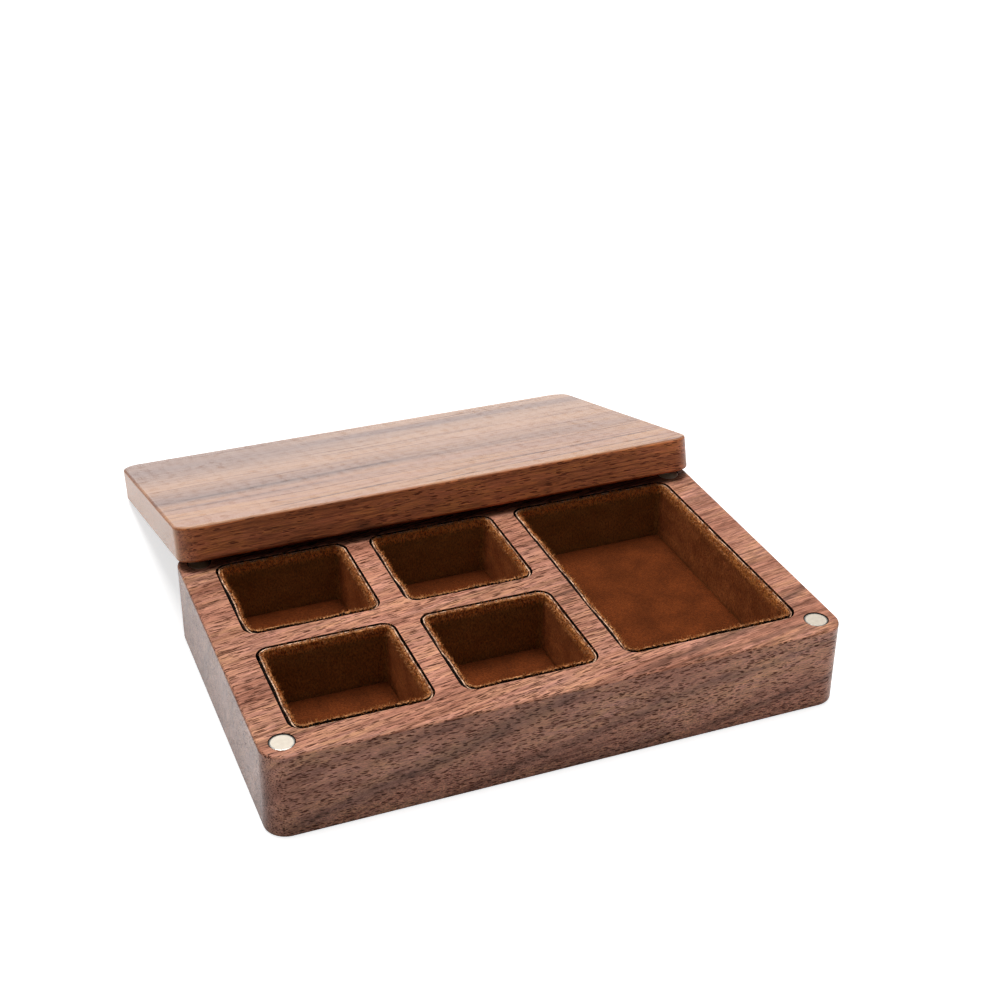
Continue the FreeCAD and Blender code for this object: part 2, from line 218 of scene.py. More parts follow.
# Dark streaks, in millimetres: the place across them at their first end, how much they rise per
# millimetre to the right, their half width, both ends' x, and the share of light they leave.
TOP_STREAKS = (
    (-32.0, 0.22, 1.7, 6, 40, 0.48), (-31.4, 0.12, 0.8, 16, 48, 0.58), (-21.5, 0.45, 1.4, 42, 52, 0.48),
    (-30.8, 0.20, 0.6, -14, 4, 0.74), (22.5, -0.05, 1.8, -54, -43, 0.60), (12.2, 0.20, 0.7, -54, -43, 0.64),
    (-6.0, 0.25, 0.8, 5, 15, 0.74), (14.0, 0.25, 0.6, -23, -13, 0.74))
FRONT_STREAKS = (
    (-0.06, 0.28, 2.4, -52, 6, 0.55), (11.14, 0.24, 1.5, -34, -14, 0.72), (1.13, 0.215, 1.4, -18, 34, 0.62),
    (0.18, 0.11, 1.6, -2, 20, 0.70), (1.4, 0.17, 0.9, 22, 50, 0.58), (10.0, 0.17, 0.8, 26, 52, 0.64))
FLAT_TOP = (48.6 * MM, 29.9 * MM)   # half sizes of the top inside its rounded outer edges


def add_streaks(tree, colour, x, across, waver, sway, solid, table):
    """The streaks of one face. waver bends them by up to sway millimetres, and each is at its full
    strength over the middle share of its length that solid gives."""
    for start, rise, width, first, last, light in table:
        level = maths(tree, "MULTIPLY_ADD", x, -rise, maths(tree, "ADD", across, (rise * first - start) * MM))
        level = maths(tree, "MULTIPLY_ADD", waver, sway * MM, maths(tree, "ADD", level, -sway / 2 * MM))
        shade = ramp(tree, in_widths(tree, level, width * MM), (0.1, light), (1.0, 1.0))
        middle, half = (first + last) / 2, (last - first) / 2
        from_middle = in_widths(tree, maths(tree, "ADD", x, -middle * MM), half * MM)
        colour = shaded(tree, ramp(tree, from_middle, (solid, 1), (1.0, 0)), colour, shade)
    return colour


def base_marks(tree, where, figure):
    """Streaks on the top and front, a painted reflection between the small pockets, duller ends, painted
    contact shade at the foot, a painted highlight on the pocket mouths, and pocket walls painted near black as
    shade.
    """
    x, y, z = split(tree, where)
    normal = split(tree, coordinates(tree, "Normal"))

    # uneven toward the foot, and painted contact shade, nearly black, where its rounded edge turns under
    speck = grain_noise(tree, where, (0.3 * MM, 0.3 * MM, 0.24 * MM), 2.0, 0.6)
    low = ramp(tree, maths(tree, "DIVIDE", z, 10 * MM), (0.2, 1), (0.8, 0.25))
    figure = shaded(tree, low, figure, ramp(tree, speck, (0.3, 0.6), (0.7, 1.4)))
    foot_painted_shade = ramp(tree, maths(tree, "DIVIDE", z, 1 * MM), (0.15, 0.3), (0.5, 1.0))
    foot_painted_shade = maths(tree, "MAXIMUM", foot_painted_shade, maths(tree, "LESS_THAN", normal[2], -0.97))
    figure = mix(tree, 1.0, figure, foot_painted_shade, "MULTIPLY")

    # the top: painted paler between the small pockets as a painted reflection, with long thin streaks all over
    # and a few broad ones
    centre_painted_reflection = ramp(tree, in_widths(tree, maths(tree, "ADD", x, 18 * MM), 20 * MM), (0.25, 1.12), (0.9, 1.0))
    figure = shaded(tree, ramp(tree, normal[2], (0.4, 0), (0.8, 1)), figure, centre_painted_reflection)
    slanted = maths(tree, "MULTIPLY_ADD", x, -0.16, y)
    slanted = add(tree, "ShaderNodeCombineXYZ", {0: x, 1: slanted, 2: z}).outputs[0]
    long_streaks = grain_noise(tree, slanted, (16 * MM, 0.42 * MM, 2 * MM), 4.0, 0.65)
    streaked = ramp(tree, long_streaks, (0.36, 0.64), (0.48, 1.04), (0.62, 1.12))
    streaked = mix(tree, 1.0, figure, streaked, "MULTIPLY")
    waver = grain_noise(tree, where, (8 * MM, 3 * MM, 3 * MM), 3.0, 0.6)
    streaked = add_streaks(tree, streaked, x, y, waver, 2.4, 0.6, TOP_STREAKS)
    figure = mix(tree, ramp(tree, normal[2], (0.6, 0), (0.9, 1)), figure, streaked)

    # duller ends, and a front that gets paler to the right
    ends = ramp(tree, maths(tree, "ABSOLUTE", normal[0]), (0.6, 0), (0.95, 1))
    figure = shaded(tree, ends, figure, grey(0.78))
    paler = mix(tree, 1.0, figure, ramp(tree, span_share(tree, x), (0.55, 1.13), (0.95, 1.34)), "MULTIPLY")
    waver = grain_noise(tree, where, (9 * MM, 9 * MM, 3 * MM), 3.0, 0.6)
    paler = add_streaks(tree, paler, x, z, waver, 3.0, 0.75, FRONT_STREAKS)
    on_front = ramp(tree, maths(tree, "MULTIPLY", normal[1], -1.0), (0.4, 0), (0.8, 1))
    figure = mix(tree, on_front, figure, paler)

    # inside the outer edges: a painted highlight on the rounded pocket mouths, then pocket walls painted near
    # black as shade
    reach = maths(tree, "MAXIMUM", maths(tree, "SUBTRACT", maths(tree, "ABSOLUTE", x), FLAT_TOP[0]),
                  maths(tree, "SUBTRACT", maths(tree, "ABSOLUTE", y), FLAT_TOP[1]))
    inside = maths(tree, "LESS_THAN", reach, 0.0)
    mouth_painted_highlight = ramp(tree, normal[2], (0.7, 0), (0.85, 1), (0.98, 1), (0.998, 0))
    figure = shaded(tree, maths(tree, "MULTIPLY", inside, mouth_painted_highlight), figure, grey(1.3))
    # pocket walls painted near black: painted shade in the gap by the lining
    wall_painted_shade = ramp(tree, maths(tree, "ABSOLUTE", normal[2]), (0.45, 1), (0.8, 0))
    return mix(tree, maths(tree, "MULTIPLY", inside, wall_painted_shade), figure, srgb(24, 12, 7))


def dress(node_name, material):
    """Gives a CAD node its finish."""
    piece = nodes[node_name]
    piece.data.materials.clear()
    piece.data.materials.append(material)


base_walnut = walnut(
    "base_walnut", turn=board_turn((0.985, 0.17, -0.01), (-0.14, 0.78, 0.60)), shift=(0, 0, 0),
    run_out=-0.03, wander=(6.0, 1.6),
    tones=(srgb(207, 150, 114), srgb(203, 144, 123), srgb(179, 120, 97), srgb(116, 66, 47),
           srgb(66, 28, 10)),
    streak=(0.8, 0.34, 0.50), band=(4.0, 0.31, 0.47, 0.5), pore_share=1.0, faint=0.5, extra=base_marks)
dress("base_block", base_walnut)


# ============================================================ base magnets
# Four nickel-plated discs, 4 mm across, pressed into flat-bottomed holes at the corners.
# The plating is satin in the middle and smoother round the edge, with a paler ring there that is a painted
# highlight, and a dark ring at the joint that is grime and painted shade of the gap.
# The two front discs are handled more and are duller than the two at the back.
MAGNET_RADIUS = 2.0   # mm
SATIN = {"front_left": 0.62, "front_right": 0.64, "back_left": 0.30, "back_right": 0.30}
CORNERS = tuple(SATIN)


def nickel(name, satin, lean=0.0):
    """The finish of one disc, in rings round its own middle. satin is the roughness of its middle,
    and lean is how far its face tips back."""
    material = new_material(f"nickel_{name}")
    tree = material.node_tree
    middle = sum(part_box(name), Vector()) / 2
    from_middle = add(tree, "ShaderNodeVectorMath", {0: coordinates(tree), 1: middle},
                      operation="SUBTRACT").outputs[0]
    level = add(tree, "ShaderNodeMapping", {"Vector": from_middle, "Rotation": (lean, 0, 0),
                                            "Scale": (1 / MM, 1 / MM, 1 / MM)}).outputs[0]
    flat = add(tree, "ShaderNodeVectorMath", {0: level, 1: (1, 1, 0)}, operation="MULTIPLY").outputs[0]
    radius = add(tree, "ShaderNodeVectorMath", {0: flat}, operation="LENGTH").outputs["Value"]
    cloud = grain_noise(tree, level, (0.8, 0.8, 0.8), 3.0, 0.6)
    scratch = grain_noise(tree, level, (0.9, 0.05, 0.05), 2.0, 0.6)
    radius = maths(tree, "MULTIPLY_ADD", cloud, 0.04, maths(tree, "MULTIPLY", radius, 1 / MAGNET_RADIUS))
    colour = ramp(tree, cloud, (0.3, srgb(220, 210, 196)), (0.7, srgb(230, 221, 207)))
    # a paler ring round the edge: painted highlight
    colour = mix(tree, ramp(tree, radius, (0.86, 0), (0.93, 1)), colour, srgb(246, 240, 230))
    # a dark ring at the joint: grime, and painted shade of the gap
    colour = mix(tree, ramp(tree, radius, (0.995, 0), (1.01, 1)), colour, srgb(40, 30, 24))
    bump = add(tree, "ShaderNodeBump", {"Height": scratch, "Strength": 0.25, "Distance": 0.01 * MM})
    bevel = add(tree, "ShaderNodeBump", {"Height": ramp(tree, radius, (0.92, 1), (1.02, 0)), "Strength": 0.2,
                                         "Distance": 0.2 * MM, "Normal": bump.outputs[0]})
    surface = add(tree, "ShaderNodeBsdfPrincipled",
                  {"Base Color": colour, "Metallic": 1.0, "Normal": bevel.outputs[0],
                   "Roughness": ramp(tree, radius, (0.86, satin), (0.92, 0.30))})
    add(tree, "ShaderNodeOutputMaterial", {"Surface": surface.outputs[0]})
    return material


for corner in CORNERS:
    dress(f"base_magnet_{corner}", nickel(f"base_magnet_{corner}", SATIN[corner]))


# ============================================================ card liners
# A strip of thin card with a pale torn edge stands round each pocket's wall, and a plate of it lies on
# the floor; the strip's sides are painted near black, the painted shade of the gap by the wood. The strip is
# cut flat and bent round, its ends meet by the front right corner, and its top edge stands a little off the
# wood, by an amount that changes along the wall.
CARD = 0.3 * MM            # its thickness
SEAM = 0.15 * MM           # the slit between a strip's two ends
LOOSE = 0.32 * MM          # how far a strip's top may lean off the wood
FRAY_STEP = 0.12 * MM      # how uneven its cut edge is
CORNER = {"card": 2.3 * MM, "velvet": 1.96 * MM}   # outside corner of each layer


def wrap(distance, half_width, half_depth, radius):
    """Where a point this far along a bent strip is, round the pocket's middle, and which way is inward.

    The strip starts in the front wall, where the front right corner begins, and goes to the left."""
    x, y, heading = half_width - radius, -half_depth, math.pi
    for run in (2 * (half_width - radius), 2 * (half_depth - radius)) * 2:
        step = min(distance, run)
        x, y, distance = x + math.cos(heading) * step, y + math.sin(heading) * step, distance - step
        if distance <= 0:
            break
        turn = min(distance / radius, math.pi / 2)
        x, y = x + radius * math.sin(heading), y - radius * math.cos(heading)
        heading -= turn
        x, y = x - radius * math.sin(heading), y + radius * math.cos(heading)
        distance -= turn * radius
        if distance <= 0:
            break
    return Vector((x, y)), Vector((math.sin(heading), -math.cos(heading)))


def strip_length(half_width, half_depth, radius):
    return 4 * (half_width + half_depth - 2 * radius) + 2 * math.pi * radius


def bend_strip(name, kind, thickness, spacing, rows, smooth, sunk, front_sunk, pressed):
    """A flat strip bent round the pocket of the CAD strip that it stands for.

    spacing and rows set its grid and smooth rounds it. Its top edge is sunk below the CAD's, and by
    front_sunk more in the front wall. The knife has pressed the cut edge thinner, by the share that
    pressed gives: from the inward side where that is above 0, and from the wood's side below 0."""
    low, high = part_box(name)
    middle, half = (low + high) / 2, (high - low) / 2
    inset = thickness / 2
    size = (half.x - inset, half.y - inset, CORNER[kind] - inset)
    length = strip_length(*size) - SEAM
    bpy.ops.object.select_all(action="DESELECT")
    bpy.ops.mesh.primitive_grid_add(x_subdivisions=round(length / spacing), y_subdivisions=rows, size=1)
    piece = bpy.context.object
    piece.name = f"{name}_bent"
    height = high.z - low.z
    fullness = piece.vertex_groups.new(name="fullness")
    for vertex in piece.data.vertices:
        along, up = vertex.co.x + 0.5, 1 - (0.5 - vertex.co.y) ** 1.5
        place, inward = wrap(SEAM / 2 + along * length, *size)
        wave = noise.noise(Vector((place.x / (5 * MM), place.y / (5 * MM), middle.x * 900 + middle.y * 400)))
        open_side = 1.0 if inward.x > -0.5 and inward.y > -0.5 else 0.2
        lean = LOOSE * max(0.15, 0.55 + wave) * up ** 2 * open_side
        thinned = abs(pressed) * up ** 10
        fullness.add([vertex.index], 1.0 - thinned, "REPLACE")
        place += inward * (lean - math.copysign(thinned, pressed) * thickness / 2)
        drop = sunk + front_sunk * max(0.0, inward.y) + FRAY_STEP * abs(wave)
        vertex.co = (middle.x + place.x, middle.y + place.y, low.z + up * (height - drop))
    thicken = piece.modifiers.new("thickness", "SOLIDIFY")
    thicken.thickness, thicken.offset, thicken.vertex_group = thickness, 0.0, fullness.name
    bpy.ops.object.modifier_apply(modifier=thicken.name)
    piece.vertex_groups.clear()
    if smooth:
        rounder = piece.modifiers.new("rounded", "SUBSURF")
        rounder.levels = rounder.render_levels = smooth
        bpy.ops.object.modifier_apply(modifier=rounder.name)
    bpy.ops.object.mode_set(mode="EDIT")
    bpy.ops.mesh.select_all(action="SELECT")
    bpy.ops.mesh.normals_make_consistent(inside=False)
    bpy.ops.object.mode_set(mode="OBJECT")
    return piece, (length, height)


card = new_material("card")
tree = card.node_tree
where = coordinates(tree)
flecks = grain_noise(tree, where, (0.6 * MM, 0.6 * MM, 0.6 * MM), 4.0, 0.7)
fuzz = grain_noise(tree, where, (0.12 * MM, 0.12 * MM, 0.12 * MM), 2.0, 0.6)
bump = add(tree, "ShaderNodeBump", {"Height": fuzz, "Strength": 0.5, "Distance": 0.05 * MM})
# the card's sides: painted shade, near black, for the gap between the wood and the lining
side_painted_shade = ramp(tree, flecks, (0.3, srgb(30, 18, 12)), (0.6, srgb(56, 36, 26)))
upward = split(tree, coordinates(tree, "Normal"))[2]
torn = grain_noise(tree, where, (1.3 * MM, 1.3 * MM, 1.3 * MM), 3.0, 0.7)
cut = ramp(tree, torn, (0.42, srgb(138, 94, 68)), (0.60, srgb(242, 198, 164)))
surface = add(tree, "ShaderNodeBsdfPrincipled",
              {"Base Color": mix(tree, ramp(tree, upward, (0.5, 0), (0.8, 1)), side_painted_shade, cut),
               "Roughness": 0.85, "Normal": bump.outputs[0]})
add(tree, "ShaderNodeOutputMaterial", {"Surface": surface.outputs[0]})
POCKETS = ("back_left", "back_middle", "front_left", "front_middle", "right")
for pocket in POCKETS:
    liner, _ = bend_strip(f"wall_card_{pocket}", "card", CARD, spacing=0.5 * MM, rows=8, smooth=0,
                          sunk=0.0, front_sunk=0.38 * MM, pressed=-0.25)
    liner.data.materials.append(card)
    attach(liner, "base")
    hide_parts(f"wall_card_{pocket}")
    dress(f"floor_card_{pocket}", card)


# ============================================================ velvet lining
# Golden brown velvet is glued inside each card strip and on each floor plate. Its cut top edge frays,
# and a gold band along the top is a painted sheen, over the velvet's darker colour on the walls below.
# The walls are painted lighter than the floors, and the back walls lighter still: painted light.
VELVET = 0.65 * MM         # its thickness
RIM_SHEEN_FROM = 14.0           # mm above the table, where the painted sheen of the rim begins
HAIRS_PER_MM = 34          # along a cut edge
FLOOR_STEP = 0.45 * MM     # grid spacing of a floor pad
velvet = new_material("velvet")
tree = velvet.node_tree
where = coordinates(tree)
height = split(tree, where)[2]
pile = grain_noise(tree, where, (0.30 * MM, 0.30 * MM, 0.50 * MM), 4.0, 0.75)
brushed = grain_noise(tree, where, (5 * MM, 5 * MM, 3.5 * MM), 3.0, 0.55)
deep = ramp(tree, brushed, (0.3, srgb(90, 42, 15)), (0.7, srgb(116, 56, 23)))
_, leaning, upward = split(tree, coordinates(tree, "Normal"))
on_floor = ramp(tree, upward, (0.4, 0), (0.8, 1))
# walls painted lighter than the floors, and back walls lighter still: painted light
wall_painted_lighter = ramp(tree, brushed, (0.33, srgb(128, 73, 39)), (0.67, srgb(167, 101, 57)))
back_wall_painted_lighter = ramp(tree, brushed, (0.3, srgb(134, 92, 46)), (0.7, srgb(155, 109, 59)))
on_back = ramp(tree, maths(tree, "MULTIPLY", leaning, -1.0), (0.3, 0), (0.8, 1))
wall_painted_lighter = mix(tree, on_back, wall_painted_lighter, back_wall_painted_lighter)
deep = mix(tree, on_floor, wall_painted_lighter, deep)
deep = mix(tree, 1.0, deep, ramp(tree, pile, (0.32, 0.45), (0.68, 1.55)), "MULTIPLY")
# a gold band along the top edge: painted sheen of the rim
frayed = maths(tree, "MULTIPLY_ADD", pile, 1.4 * MM, height)
rim_painted_sheen = ramp(tree, maths(tree, "MULTIPLY_ADD", frayed, 1 / MM, -RIM_SHEEN_FROM), (0.0, 0), (1.0, 1))
rim_sheen_colour = ramp(tree, pile, (0.40, srgb(134, 74, 34)), (0.60, srgb(240, 158, 84)))
rim_sheen_on_top = ramp(tree, pile, (0.40, srgb(134, 84, 52)), (0.60, srgb(232, 164, 108)))
rim_sheen_colour = mix(tree, on_floor, rim_sheen_colour, rim_sheen_on_top)
colour = mix(tree, rim_painted_sheen, deep, rim_sheen_colour)
bump = add(tree, "ShaderNodeBump", {"Height": pile, "Strength": 1.0, "Distance": 0.22 * MM})
surface = add(tree, "ShaderNodeBsdfPrincipled",
              {"Base Color": colour, "Roughness": 0.95, "Normal": bump.outputs[0], "Specular IOR Level": 0.1,
               "Sheen Weight": 0.35, "Sheen Roughness": 0.35, "Sheen Tint": srgb(255, 132, 60)})
add(tree, "ShaderNodeOutputMaterial", {"Surface": surface.outputs[0]})

# The velvet's outer face, toward the card, is painted near black: painted shade in the gap.
backing = new_material("velvet_backing")
tree = backing.node_tree
backing_mottle = grain_noise(tree, coordinates(tree), (0.5 * MM, 0.5 * MM, 0.5 * MM), 3.0, 0.6)
bump = add(tree, "ShaderNodeBump", {"Height": backing_mottle, "Strength": 0.6, "Distance": 0.05 * MM})
surface = add(tree, "ShaderNodeBsdfPrincipled",
              {"Base Color": ramp(tree, backing_mottle, (0.3, srgb(20, 12, 8)), (0.7, srgb(38, 24, 15))),
               "Roughness": 0.9, "Normal": bump.outputs[0], "Specular IOR Level": 0.1})
add(tree, "ShaderNodeOutputMaterial", {"Surface": surface.outputs[0]})


def ruffle(piece, rim, amount):
    """Uneven pile: every point moves along its normal, and those by the rim move more."""
    piece.data.update()
    normals = [Vector(vertex.normal) for vertex in piece.data.vertices]
    chance = random.Random(11)
    for vertex, normal in zip(piece.data.vertices, normals):
        near_rim = min(1.0, max(0.0, (vertex.co.z - rim + 1.2 * MM) / (1.2 * MM)))
        tuft = noise.noise(vertex.co / (0.9 * MM))
        reach = amount * (0.5 + near_rim) * (0.6 * tuft + chance.uniform(-0.6, 0.6))
        vertex.co += normal * reach


def fray(lining, rim, count):
    """Loose pile along a lining's cut edge: fine three-sided hairs that stand on its upper faces."""
    chance = random.Random(count)
    faces = [f for f in lining.data.polygons if f.center.z > rim - 1.4 * MM]
    middle = sum((f.center for f in faces), Vector()) / len(faces)
    faces = [f for f in faces if f.normal.z > 0.3 or f.normal.xy.dot(middle.xy - f.center.xy) > 0]
    points, hairs = [], []
    weights = [f.area * (1 + 2 * (f.normal.z > 0.3)) * max(0.15, 0.6 + 2 * noise.noise(f.center / (0.7 * MM)))
               for f in faces]
    for face in chance.choices(faces, weights=weights, k=count):
        corner = lining.data.vertices[chance.choice(face.vertices)].co
        root = face.center.lerp(corner, chance.random()) - face.normal * 0.03 * MM
        stray = Vector([chance.uniform(-1, 1) for _ in range(3)])
        rise = (face.normal + stray * 0.75 + Vector((0, 0, 0.5))).normalized()
        side = rise.cross(Vector((chance.random(), 1, chance.random()))).normalized()
        for turn in range(3):
            points.append(root + Matrix.Rotation(turn * math.tau / 3, 3, rise) @ side * 0.05 * MM)
        points.append(root + rise * chance.triangular(0.15, 0.9, 0.35) * MM)
        first = len(points) - 4
        hairs += [(first, first + 1, first + 3), (first + 1, first + 2, first + 3),
                  (first + 2, first, first + 3), (first + 2, first + 1, first)]
    mesh = bpy.data.meshes.new(f"{lining.name}_frayed")
    mesh.from_pydata(points, [], hairs)
    fringe = bpy.data.objects.new(mesh.name, mesh)
    bpy.context.scene.collection.objects.link(fringe)
    return fringe


for pocket in POCKETS:
    lining, (length, height) = bend_strip(
        f"wall_velvet_{pocket}", "velvet", VELVET, spacing=0.42 * MM, rows=15, smooth=1,
        sunk=-0.05 * MM, front_sunk=-0.02 * MM, pressed=0.4)
    low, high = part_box(f"wall_velvet_{pocket}")
    ruffle(lining, high.z, 0.10 * MM)
    bpy.ops.object.shade_smooth()
    lining.data.materials.append(velvet)
    lining.data.materials.append(backing)
    for face in lining.data.polygons:
        outward = face.center.xy - ((low + high) / 2).xy
        face.material_index = int(face.normal.xy.dot(outward) > 0.55 * outward.length)
    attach(lining, "base")
    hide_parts(f"wall_velvet_{pocket}")
    fringe = fray(lining, high.z, round(length / MM * HAIRS_PER_MM))
    fringe.data.materials.append(velvet)
    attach(fringe, "base")

    low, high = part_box(f"floor_velvet_{pocket}")
    middle, span = (low + high) / 2, high - low
    bpy.ops.object.select_all(action="DESELECT")
    bpy.ops.mesh.primitive_grid_add(x_subdivisions=round(span.x / FLOOR_STEP),
                                    y_subdivisions=round(span.y / FLOOR_STEP), size=1)
    floor = bpy.context.object
    floor.name = f"floor_velvet_{pocket}_laid"
    for vertex in floor.data.vertices:
        vertex.co = (middle.x + vertex.co.x * span.x, middle.y + vertex.co.y * span.y, middle.z)
    thicken = floor.modifiers.new("thickness", "SOLIDIFY")
    thicken.thickness, thicken.offset = span.z, 0.0
    bpy.ops.object.modifier_apply(modifier=thicken.name)
    rounder = floor.modifiers.new("rounded", "SUBSURF")
    rounder.levels = rounder.render_levels = 1
    bpy.ops.object.modifier_apply(modifier=rounder.name)
    ruffle(floor, 1.0, 0.08 * MM)
    bpy.ops.object.shade_smooth()
    floor.data.materials.append(velvet)
    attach(floor, "base")
    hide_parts(f"floor_velvet_{pocket}")


# ============================================================ lid board
# A plain board of the same walnut and outline, 6.4 mm thick, leaning on the base's back edge.
# It was cut nearly flat to the rings, so broad soft bands run along its top, and fine dark
# lines gather at the right of its front edge.
front_magnet = sum(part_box("lid_magnet_front_left"), Vector()) / 2
back_magnet = sum(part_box("lid_magnet_back_left"), Vector()) / 2
lid_slope = back_magnet - front_magnet
LEAN = math.atan2(-lid_slope.z, lid_slope.y)
level_magnet = Matrix.Rotation(LEAN, 3, "X") @ front_magnet
# in the frame where the lid is level, in mm, from the middle of a front magnet
LID_LOW = level_magnet.z / MM - 1.1      # its underside
LID_FRONT = level_magnet.y / MM - 4.0    # its front edge
LID_DEPTH = 64.0                         # the length that the bands below are spread over
# Fine dark lines by the front edge, in the columns of TOP_STREAKS, ending with how dark each is.
LID_LINES = (
    (3.9, 0.15, 0.55, -33, -5, 0.9), (6.0, 0.16, 0.65, -6, 12, 0.95), (8.6, 0.07, 0.6, 8, 52, 0.9),
    (2.0, 0.12, 0.5, -4, 18, 0.75), (4.3, 0.06, 0.55, 14, 52, 0.8), (21.6, 0.05, 1.2, -52, 4, 0.8),
    (15.4, 0.04, 0.6, -52, -16, 0.6))


def lid_bands(tree, where, figure):
    """The lid's top: a quieter face with broad soft bands, placed by their distance from its front, painted
    paler, and paler still toward the rear, as painted light and painted reflection.
    """
    level = add(tree, "ShaderNodeMapping", {"Vector": where, "Rotation": (LEAN, 0, 0),
                                            "Scale": (1 / MM, 1 / MM, 1 / MM)}).outputs[0]
    x, y, z = split(tree, level)
    rightward = span_share(tree, x, MM)
    wave = grain_noise(tree, level, (46, 16, 30), 1.5)
    behind = maths(tree, "ADD", maths(tree, "MULTIPLY_ADD", wave, 5.0, y), -2.5 - LID_FRONT)
    behind = maths(tree, "MULTIPLY_ADD", x, -0.02, behind)
    thin = grain_noise(tree, add(tree, "ShaderNodeCombineXYZ", {0: x, 1: behind, 2: z}).outputs[0],
                       (34, 0.55, 20), 4.0, 0.65)
    share = maths(tree, "DIVIDE", behind, LID_DEPTH)

    # broad grey bands: weaker to the right, with one more on the left and one more on the right,
    # and a paler strip along the rear
    dusk = ramp(tree, share, (0.20, 0.0), (0.27, 0.40), (0.30, 0.12), (0.36, 0.95), (0.42, 0.65), (0.50, 0.30),
                (0.54, 0.08), (0.68, 0.15), (0.76, 0.45), (0.81, 0.85), (0.87, 0.75), (0.94, 0.85))
    dusk = maths(tree, "MULTIPLY", dusk, maths(tree, "MULTIPLY_ADD", x, -0.008, 1.0))
    leftward = ramp(tree, rightward, (0.30, 1), (0.56, 0))
    dusk = maths(tree, "MULTIPLY_ADD", maths(tree, "MULTIPLY", leftward, 0.3),
                 ramp(tree, share, (0.60, 0), (0.67, 1), (0.76, 1), (0.80, 0)), dusk)
    dusk = maths(tree, "MULTIPLY_ADD", maths(tree, "SUBTRACT", 1.0, leftward),
                 ramp(tree, share, (0.78, 0), (0.81, 0.4), (0.86, 0.4), (0.89, 0)), dusk)
    rear = maths(tree, "MULTIPLY", ramp(tree, leftward, (0.0, 0.85), (1.0, 0.25)),
                 ramp(tree, share, (0.865, 0), (0.91, 1)))
    dusk = maths(tree, "MULTIPLY", dusk, maths(tree, "SUBTRACT", 1.0, rear))

    # long thin streaks near the front, which rise and get stronger to the right
    slanted = maths(tree, "MULTIPLY_ADD", x, -0.09, behind)
    slanted = add(tree, "ShaderNodeCombineXYZ", {0: x, 1: slanted, 2: z}).outputs[0]
    rising = grain_noise(tree, slanted, (60, 0.8, 20), 2.0, 0.6)
    near = ramp(tree, share, (0.02, 0), (0.06, 1), (0.16, 1), (0.24, 0))
    rising = maths(tree, "MULTIPLY", ramp(tree, rising, (0.32, 1), (0.43, 0)), near)
    rising = maths(tree, "MULTIPLY", rising, ramp(tree, rightward, (0.15, 0), (0.5, 0.8)))

    tone = ramp(tree, grain_noise(tree, level, (24, 4, 20), 2.0), (0.4, 0), (0.6, 1))
    # the top's colour is painted pale, paler toward the rear: painted light and painted reflection
    top_painted_paler = mix(tree, tone, srgb(195, 143, 106), srgb(186, 137, 112))
    top_painted_paler = mix(tree, ramp(tree, share, (0.3, 0), (0.75, 1)), top_painted_paler, srgb(195, 150, 120))
    face = mix(tree, maths(tree, "MULTIPLY", dusk, 0.9), top_painted_paler, srgb(142, 108, 95))
    face = mix(tree, ramp(tree, thin, (0.34, 1.0), (0.47, 0)), face, srgb(122, 76, 54))
    face = mix(tree, rising, face, srgb(140, 84, 56))

    straight = maths(tree, "ADD", maths(tree, "MULTIPLY_ADD", wave, 1.6, y), -0.8 - LID_FRONT)
    frayed = grain_noise(tree, level, (6, 1.2, 6), 3.0, 0.6)
    for start, rise, width, first, last, dark in LID_LINES:
        off = maths(tree, "MULTIPLY_ADD", x, -rise, maths(tree, "ADD", straight, rise * first - start))
        line = ramp(tree, in_widths(tree, off, width), (0.15, dark), (1.0, 0))
        from_middle = in_widths(tree, maths(tree, "ADD", x, -(first + last) / 2), (last - first) / 2)
        line = maths(tree, "MULTIPLY", line, ramp(tree, from_middle, (0.7, 1), (1.0, 0)))
        line = maths(tree, "MULTIPLY", line, ramp(tree, frayed, (0.36, 0.3), (0.5, 1)))
        face = mix(tree, line, face, srgb(96, 60, 44))
    shade = add(tree, "ShaderNodeRGBToBW", {"Color": figure}).outputs[0]
    shade = ramp(tree, maths(tree, "DIVIDE", shade, 0.10), (0.2, 0.80), (1.0, 1.0))
    face = mix(tree, 1.0, face, shade, "MULTIPLY")

    # the edges: a dark knot low in the front, paler to the right, ends painted pale as a painted reflection,
    # and an underside painted darker as shade
    knot = maths(tree, "MULTIPLY_ADD", grain_noise(tree, level, (9, 3, 1.6), 3.0, 0.6), 1.6,
                 in_widths(tree, maths(tree, "ADD", x, 17.0), 14.0))
    knot = maths(tree, "ADD", knot, maths(tree, "DIVIDE", maths(tree, "SUBTRACT", z, LID_LOW), 2.2))
    knot = maths(tree, "MULTIPLY", knot, 0.4)
    figure = mix(tree, ramp(tree, knot, (0.40, 0.75), (0.66, 0)), figure, srgb(52, 34, 20))
    figure = mix(tree, 1.0, figure, ramp(tree, rightward, (0.3, 0.98), (0.95, 1.35)), "MULTIPLY")
    normal = coordinates(tree, "Normal")
    # ends painted pale: painted reflection
    ends = ramp(tree, maths(tree, "ABSOLUTE", split(tree, normal)[0]), (0.82, 0), (0.98, 0.6))
    figure = mix(tree, ends, figure, srgb(222, 164, 120))
    up = add(tree, "ShaderNodeVectorMath", {0: normal, 1: (0, math.sin(LEAN), math.cos(LEAN))},
             operation="DOT_PRODUCT").outputs["Value"]
    # underside painted darker: painted shade
    below = ramp(tree, maths(tree, "MULTIPLY", up, -1.0), (0.75, 1.0), (0.95, 0.45))
    figure = mix(tree, 1.0, figure, below, "MULTIPLY")
    return mix(tree, ramp(tree, up, (0.45, 0), (0.75, 1)), figure, face)


